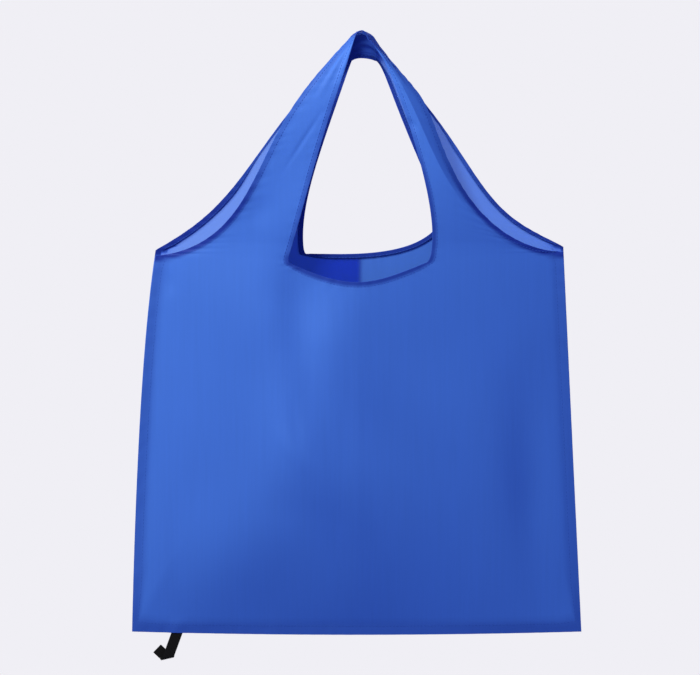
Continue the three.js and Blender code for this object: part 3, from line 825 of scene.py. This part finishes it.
def walk_row(points, normals):
    """Places at every stitch's middle along a row of surface points, with the row's direction and the
    surface's normal there: each is read off against the distance walked."""
    walked = np.concatenate([[0], np.cumsum(np.linalg.norm(np.diff(points, axis=0), axis=1))])
    count = int(walked[-1] // STITCH_PITCH)
    middle = (np.arange(count) + 0.5) * STITCH_PITCH

    def read(values, at):
        """Values between the two nearest points, in proportion to the distance walked."""
        return np.stack([np.interp(at, walked, values[:, c]) for c in range(3)], axis=1)

    way = unit(read(points, middle + WAY_STEP) - read(points, middle - WAY_STEP))
    return read(points, middle), way, unit(read(normals, middle))


print(f"a stitch every {STITCH_PITCH} mm")

# %% Shape of a stitch
STITCH_LENGTH = 2.6
THREAD = 0.45
STITCH_LIFT = THREAD / 4  # height of a stitch's middle over the cloth
STITCH_SINK = THREAD * 0.6  # and how much lower its ends lie
STITCH_SIDES = 6
STITCH_PROFILE = np.array([(-1.0, 0.35), (-0.72, 0.85), (0.0, 1.0), (0.72, 0.85), (1.0, 0.35)])


def stitch_points(middle, way, normal):
    """Capsules: rings of a hexagon along the row, thinner at both ends, and sunk into the cloth there
    by a drop that grows with the square of the distance from the middle."""
    across = np.cross(way, normal)
    angle = np.linspace(0, 2 * math.pi, STITCH_SIDES, endpoint=False)
    share, thin = STITCH_PROFILE[:, 0], STITCH_PROFILE[:, 1]
    centre = middle[:, None, :] + (share * STITCH_LENGTH / 2)[None, :, None] * way[:, None, :]
    centre = centre + (STITCH_LIFT - STITCH_SINK * share**2)[None, :, None] * normal[:, None, :]
    around = angle[None, :, None]
    spoke = np.cos(around) * across[:, None, :] + np.sin(around) * normal[:, None, :]
    return centre[:, :, None, :] + (thin * THREAD / 2)[None, :, None, None] * spoke[:, None, :, :]


def stitch_faces(count):
    """Quads round each capsule and a hexagon at each end, repeated for every capsule."""
    rings, sides = len(STITCH_PROFILE), STITCH_SIDES
    i, j = np.meshgrid(np.arange(rings - 1), np.arange(sides), indexing="ij")
    after = (j + 1) % sides
    near, far = i * sides, (i + 1) * sides
    one = np.stack([near + j, far + j, far + after, near + after], axis=-1)
    shift = (np.arange(count) * rings * sides)[:, None, None]
    quads = (one.reshape(1, -1, 4) + shift).reshape(-1, 4)
    start = (np.arange(sides)[None, :] + shift[:, 0]).tolist()
    end = (np.arange(sides)[None, ::-1] + (rings - 1) * sides + shift[:, 0]).tolist()
    return [*quads.tolist(), *start, *end]


print(f"{len(stitch_faces(1))} faces a stitch")

# %% Stitch rows
def panel_stitches(name, surface, normal, hemmed):
    """All stitches of a panel: both sides of the neck and armhole hems, and the outside of the seams.
    Each row follows one row of the panel's grid, lifted to the cloth's face."""
    hem_row = int(np.argmin(np.abs(HEM_ROWS - HEM_STITCH)))
    seam_row = len(HEM_ROWS)
    face_out, face_in = CLOTH / 2, CLOTH / 2 - HEM_THICKNESS
    around = len(surface)
    neck_ring = np.arange(around + 1) % around
    bottom_first, bottom_last = np.flatnonzero(~hemmed)[[0, -1]]
    armholes = np.arange(bottom_last + 1, around + bottom_first + 1) % around
    seams = np.arange(bottom_first, bottom_last + 1)
    rows = [
        (neck_ring, hem_row, face_out, 1),
        (neck_ring, hem_row, face_in, -1),
        (armholes, -1 - hem_row, face_out, 1),
        (armholes, -1 - hem_row, face_in, -1),
        (seams, -seam_row, face_out - STITCH_LIFT, 1),
    ]
    laid = []
    for stations, row, lift, turn in rows:
        points = surface[stations, row] + lift * normal[stations, row]
        laid.append(stitch_points(*walk_row(points, turn * normal[stations, row])))
    points = np.concatenate(laid)
    print(f"{name}: {len(points)} stitches")
    return skin(name, points, stitch_faces(len(points)))


front_stitches = panel_stitches("front_panel_stitches", *front_cloth)
back_stitches = panel_stitches("back_panel_stitches", *back_cloth)

# %% [markdown]
# ## Finishes
# Colours are written as they look, in sRGB hex, and one function turns them into the linear values
# that shaders use. One small function adds a node with its settings and links.

# %% Material helpers
COLOUR_MIX = {"data_type": "RGBA"}  # settings of a Mix node whose inputs 6 and 7 are colours


def linear(colour):
    """sRGB hex to linear red, green, blue and alpha: a share p of full is (p + 0.055) / 1.055 to the
    power 2.4, and near black p / 12.92."""
    parts = [int(colour[i : i + 2], 16) / 255 for i in (1, 3, 5)]
    return [p / 12.92 if p <= 0.04045 else ((p + 0.055) / 1.055) ** 2.4 for p in parts] + [1.0]


def add(tree, kind, settings=None, **inputs):
    """A new node of that kind: settings are its own values, and each input is a value or a socket. An
    input goes by its name, with _ for a space, or by _ and its number."""
    node = tree.nodes.new(kind)
    for key, value in (settings or {}).items():
        setattr(node, key, value)
    for key, value in inputs.items():
        socket = node.inputs[int(key[1:])] if key[0] == "_" else node.inputs[key.replace("_", " ")]
        if isinstance(value, bpy.types.NodeSocket):
            tree.links.new(value, socket)
        else:
            socket.default_value = value
    return node


def new_material(name):
    """A new material, its node tree, and the Object coordinates that its patterns read."""
    material = bpy.data.materials.new(name)
    material.use_nodes = True
    tree = material.node_tree
    tree.nodes.clear()
    return material, tree, add(tree, "ShaderNodeTexCoord").outputs["Object"]


def finished(material, surface, pieces):
    """The shader joined to the material's output, and the material put on its pieces."""
    add(material.node_tree, "ShaderNodeOutputMaterial", Surface=surface.outputs[0])
    for piece in pieces:
        piece.data.materials.append(material)
    print(f"{material.name}: {len(material.node_tree.nodes)} nodes, on {len(pieces)} piece(s)")


print("middle grey #808080 is", round(linear("#808080")[0], 3), "in linear light")

# %% [markdown]
# ### Polyester taffeta
# The cloth is a plain weave of fine bright polyester yarn, dyed blue. To the eye it is a smooth
# satin: a soft highlight, a faint streak along the warp, and light that comes through it wherever
# it is a single layer with something bright behind. One plain colour would lose the hems, which are
# three layers and so look darker. The two numbers on the points mix the single cloth's colour into
# a deep colour that stands for the layers and for painted shade, and the cloth's own shading into
# the light that comes through.

# %% Polyester taffeta material
POLYESTER = linear("#3f6dd4")
# the layers' deeper colour, which also serves as painted shade
POLYESTER_LAYERS_AND_SHADE = linear("#101f86")
POLYESTER_THROUGH = linear("#a8c0ee")
# colour of the light that passes the layers and the painted shade
THROUGH_LAYERS_AND_SHADE = linear("#366ce6")
POLYESTER_IOR = 1.5
POLYESTER_ROUGH = (0.5, 0.6)
POLYESTER_GLOSS = 0.06  # the yarns scatter most of the gloss, and what is left is soft
THREAD_PITCH = 1.6  # the yarns are about 0.13 mm apart, and are drawn coarser so that they show
WEAVE_RELIEF = 0.2
WEAVE_STRENGTH = 0.05
STREAK_SIZE = (2.4, 17.0, 70.0)  # a run of slightly uneven warp yarns: its width, depth and length
DYE_PATCH = 110.0
TONE_ENDS = (0.6, 1.4)  # what streak and dye patch add up to, from the deepest to the palest
TONE_SPREAD = 0.04


def polyester_taffeta():
    """The weave is a sine across the warp times a sine across the weft. Streak and dye patch are
    noises whose sum brightens or dims the colour by TONE_SPREAD."""
    material, tree, where = new_material("polyester_taffeta")
    turns = [2 * math.pi / (THREAD_PITCH * MM)] * 3
    scaled = add(tree, "ShaderNodeMapping", Vector=where, Scale=turns).outputs[0]
    axes = add(tree, "ShaderNodeSeparateXYZ", Vector=scaled)
    warp = add(tree, "ShaderNodeMath", {"operation": "SINE"}, _0=axes.outputs["X"]).outputs[0]
    weft = add(tree, "ShaderNodeMath", {"operation": "SINE"}, _0=axes.outputs["Z"]).outputs[0]
    weave = add(tree, "ShaderNodeMath", {"operation": "MULTIPLY"}, _0=warp, _1=weft).outputs[0]
    streaks = [1 / (size * MM) for size in STREAK_SIZE]
    streak_way = add(tree, "ShaderNodeMapping", Vector=where, Scale=streaks).outputs[0]
    streak = add(tree, "ShaderNodeTexNoise", Vector=streak_way, Scale=1.0, Detail=3.0).outputs["Fac"]
    patch = 1 / (DYE_PATCH * MM)
    cloud = add(tree, "ShaderNodeTexNoise", Vector=where, Scale=patch, Detail=2.0).outputs["Fac"]
    hem = add(tree, "ShaderNodeAttribute", {"attribute_name": "hem"}).outputs["Fac"]
    plain = add(tree, "ShaderNodeMix", COLOUR_MIX, Factor=hem, _6=POLYESTER, _7=POLYESTER_LAYERS_AND_SHADE)
    tone = add(tree, "ShaderNodeMath", {"operation": "ADD"}, _0=streak, _1=cloud).outputs[0]
    value = add(
        tree, "ShaderNodeMapRange", Value=tone, From_Min=TONE_ENDS[0], From_Max=TONE_ENDS[1],
        To_Min=1 - TONE_SPREAD, To_Max=1 + TONE_SPREAD,
    ).outputs[0]
    colour = add(tree, "ShaderNodeHueSaturation", Color=plain.outputs[2], Value=value).outputs[0]
    rough = add(
        tree, "ShaderNodeMapRange", Value=streak, To_Min=POLYESTER_ROUGH[0], To_Max=POLYESTER_ROUGH[1]
    ).outputs[0]
    bump = add(
        tree, "ShaderNodeBump", Height=weave, Strength=WEAVE_STRENGTH, Distance=WEAVE_RELIEF * MM
    ).outputs[0]
    cloth = add(
        tree, "ShaderNodeBsdfPrincipled", Base_Color=colour, Roughness=rough, Normal=bump,
        IOR=POLYESTER_IOR, Specular_IOR_Level=POLYESTER_GLOSS,
    )
    glow = add(
        tree, "ShaderNodeMix", COLOUR_MIX, Factor=hem, _6=POLYESTER_THROUGH, _7=THROUGH_LAYERS_AND_SHADE
    ).outputs[2]
    through = add(tree, "ShaderNodeBsdfTranslucent", Color=glow, Normal=bump)
    passing = add(tree, "ShaderNodeAttribute", {"attribute_name": "through"}).outputs["Fac"]
    mixed = add(tree, "ShaderNodeMixShader", _0=passing, _1=cloth.outputs[0], _2=through.outputs[0])
    return material, mixed


finished(*polyester_taffeta(), [front_panel, back_panel])

# %% [markdown]
# ### Woven elastic
# Narrow elastic is woven over rubber cores, which gives it even ribs and a matt face. Stripes in the
# material could stand for the ribs, but those are in the mesh already. So the finish is two blacks,
# mixed by the grain of the fine fibres that cover the cores.

# %% Elastic material
ELASTIC_DARK = linear("#040406")
ELASTIC_PALE = linear("#0d0c11")
ELASTIC_ROUGH = 0.8
ELASTIC_GLOSS = 0.1
FIBRE = 1.1  # the covering fibres are about 0.1 mm thick, and are drawn coarser so that they show
FIBRE_RELIEF = 0.2
FIBRE_STRENGTH = 0.3


def woven_elastic():
    """One noise of the fibres' size mixes the two blacks and roughens the face."""
    material, tree, where = new_material("woven_elastic")
    fibres = 1 / (FIBRE * MM)
    grain = add(tree, "ShaderNodeTexNoise", Vector=where, Scale=fibres, Detail=2.0).outputs["Fac"]
    colour = add(tree, "ShaderNodeMix", COLOUR_MIX, Factor=grain, _6=ELASTIC_DARK, _7=ELASTIC_PALE)
    bump = add(
        tree, "ShaderNodeBump", Height=grain, Strength=FIBRE_STRENGTH, Distance=FIBRE_RELIEF * MM
    ).outputs[0]
    tape = add(
        tree, "ShaderNodeBsdfPrincipled", Base_Color=colour.outputs[2], Roughness=ELASTIC_ROUGH,
        Normal=bump, Specular_IOR_Level=ELASTIC_GLOSS,
    )
    return material, tape


finished(*woven_elastic(), [elastic_loop])

# %% [markdown]
# ### Sewing thread
# The hems are sewn with spun polyester thread in the cloth's own colour. It is matt and two shades
# deeper, because light is lost between its twisted plies, so a row of it reads as a fine line. One
# plain colour would do from afar, and a leaning wave shows the plies close by.

# %% Thread material
THREAD_DEEP = linear("#2546a4")
THREAD_PALE = linear("#3862c2")
THREAD_ROUGH = 0.75
THREAD_GLOSS = 0.1
THREAD_TWIST = 0.9  # a ply's turn is about 0.4 mm, and is drawn coarser so that it shows
PLY_RELIEF = 0.1
PLY_STRENGTH = 0.4
PLY_LEAN = math.radians(35)
PLY_WANDER = 1.5


def spun_thread():
    """One leaning wave of the twist's length mixes the two blues and raises the plies."""
    material, tree, where = new_material("spun_polyester_thread")
    twist = [1 / (THREAD_TWIST * MM)] * 3
    lean = (0, PLY_LEAN, 0)
    turned = add(tree, "ShaderNodeMapping", Vector=where, Rotation=lean, Scale=twist).outputs[0]
    ply = add(tree, "ShaderNodeTexWave", Vector=turned, Scale=1.0, Distortion=PLY_WANDER).outputs["Fac"]
    colour = add(tree, "ShaderNodeMix", COLOUR_MIX, Factor=ply, _6=THREAD_DEEP, _7=THREAD_PALE)
    bump = add(
        tree, "ShaderNodeBump", Height=ply, Strength=PLY_STRENGTH, Distance=PLY_RELIEF * MM
    ).outputs[0]
    thread = add(
        tree, "ShaderNodeBsdfPrincipled", Base_Color=colour.outputs[2], Roughness=THREAD_ROUGH,
        Normal=bump, Specular_IOR_Level=THREAD_GLOSS,
    )
    return material, thread


finished(*spun_thread(), [front_stitches, back_stitches])

# %% [markdown]
# ## Floor and light
# A plain pale floor lies below the bag, out of the photograph's view. The world is pale to the
# camera and a soft even fill to everything else. The key lamp, from the upper left in front, gives
# the shading that runs across the cloth. A broad lamp behind the bag gives the light that comes
# through the single cloth at the armholes. It could be a small lamp at each armhole, but those
# would leave hot spots on the bag's back.

# %% Floor
FLOOR_DROP = 1600
FLOOR_HALF = 600
FLOOR_PATCH = 330.0
FLOOR_DEEP = linear("#e6e5ea")
FLOOR_PALE = linear("#eceaf0")
FLOOR_ROUGH = 0.9


def pale_floor():
    """One broad noise mixes two pale tones."""
    material, tree, where = new_material("pale_floor")
    patch = 1 / (FLOOR_PATCH * MM)
    cloud = add(tree, "ShaderNodeTexNoise", Vector=where, Scale=patch).outputs["Fac"]
    colour = add(tree, "ShaderNodeMix", COLOUR_MIX, Factor=cloud, _6=FLOOR_DEEP, _7=FLOOR_PALE)
    matt = add(tree, "ShaderNodeBsdfPrincipled", Base_Color=colour.outputs[2], Roughness=FLOOR_ROUGH)
    return material, matt


corners = np.array([(-1, -1), (1, -1), (1, 1), (-1, 1)]) * FLOOR_HALF
floor_points = np.column_stack([corners, np.full(len(corners), -FLOOR_DROP)])
floor = skin("floor", floor_points, [[0, 1, 2, 3]])
finished(*pale_floor(), [floor])

# %% World
ROOM_FILL = linear("#a5b3ff")
FILL_STRENGTH = 0.44
ROOM_SHOWN = linear("#f0eff5")

world = bpy.data.worlds.new("pale_room")
bpy.context.scene.world = world
world.use_nodes = True
room = world.node_tree
room.nodes.clear()
path = add(room, "ShaderNodeLightPath")
larger = {"operation": "MAXIMUM"}
direct, mirrored = path.outputs["Is Camera Ray"], path.outputs["Is Glossy Ray"]
seen = add(room, "ShaderNodeMath", larger, _0=direct, _1=mirrored).outputs[0]
seen = add(room, "ShaderNodeMath", larger, _0=seen, _1=path.outputs["Is Transmission Ray"])
fill = add(room, "ShaderNodeBackground", Color=ROOM_FILL, Strength=FILL_STRENGTH)
shown = add(room, "ShaderNodeBackground", Color=ROOM_SHOWN, Strength=1.0)
both = add(room, "ShaderNodeMixShader", _0=seen.outputs[0], _1=fill.outputs[0], _2=shown.outputs[0])
add(room, "ShaderNodeOutputWorld", Surface=both.outputs[0])
print(f"{world.name}: {len(room.nodes)} nodes")

# %% Lamps
def lamp(name, location, aim, size, power, colour="#ffffff"):
    """A square area lamp, with its place, aim and size in metres. A lamp shines down its own -Z, so
    it is tilted by the angle between its aim and straight down, and then turned to its aim's side."""
    data = bpy.data.lights.new(name, "AREA")
    data.size = size
    data.energy = power
    data.color = linear(colour)[:3]
    made = bpy.data.objects.new(name, data)
    bpy.context.scene.collection.objects.link(made)
    made.location = location
    made.visible_camera = False
    way = np.array(aim) - np.array(location)
    tilt = math.acos(-way[2] / np.linalg.norm(way))
    made.rotation_euler = (tilt, 0, math.atan2(way[1], way[0]) - math.pi / 2)
    print(f"{name} lamp: {power} W, {size} m across")


lamp("key", (-1.0, -1.0, 1.1), aim=(0, 0, -0.33), size=0.45, power=64, colour="#fff9d2")
lamp("bounce", (0.1, 1.6, 0.1), aim=(0, 0, -0.3), size=1.6, power=12)

# %% [markdown]
# ## What rides where
# The row has no joints, so every piece rides on the one body. Each cloth piece stands for its CAD
# solid, and the solids are hidden.

for piece in (front_panel, back_panel, front_stitches, back_stitches, elastic_loop):
    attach(piece, "root")
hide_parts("front_panel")
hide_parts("back_panel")
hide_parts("elastic_loop")

bpy.context.scene.view_settings.view_transform = "Standard"
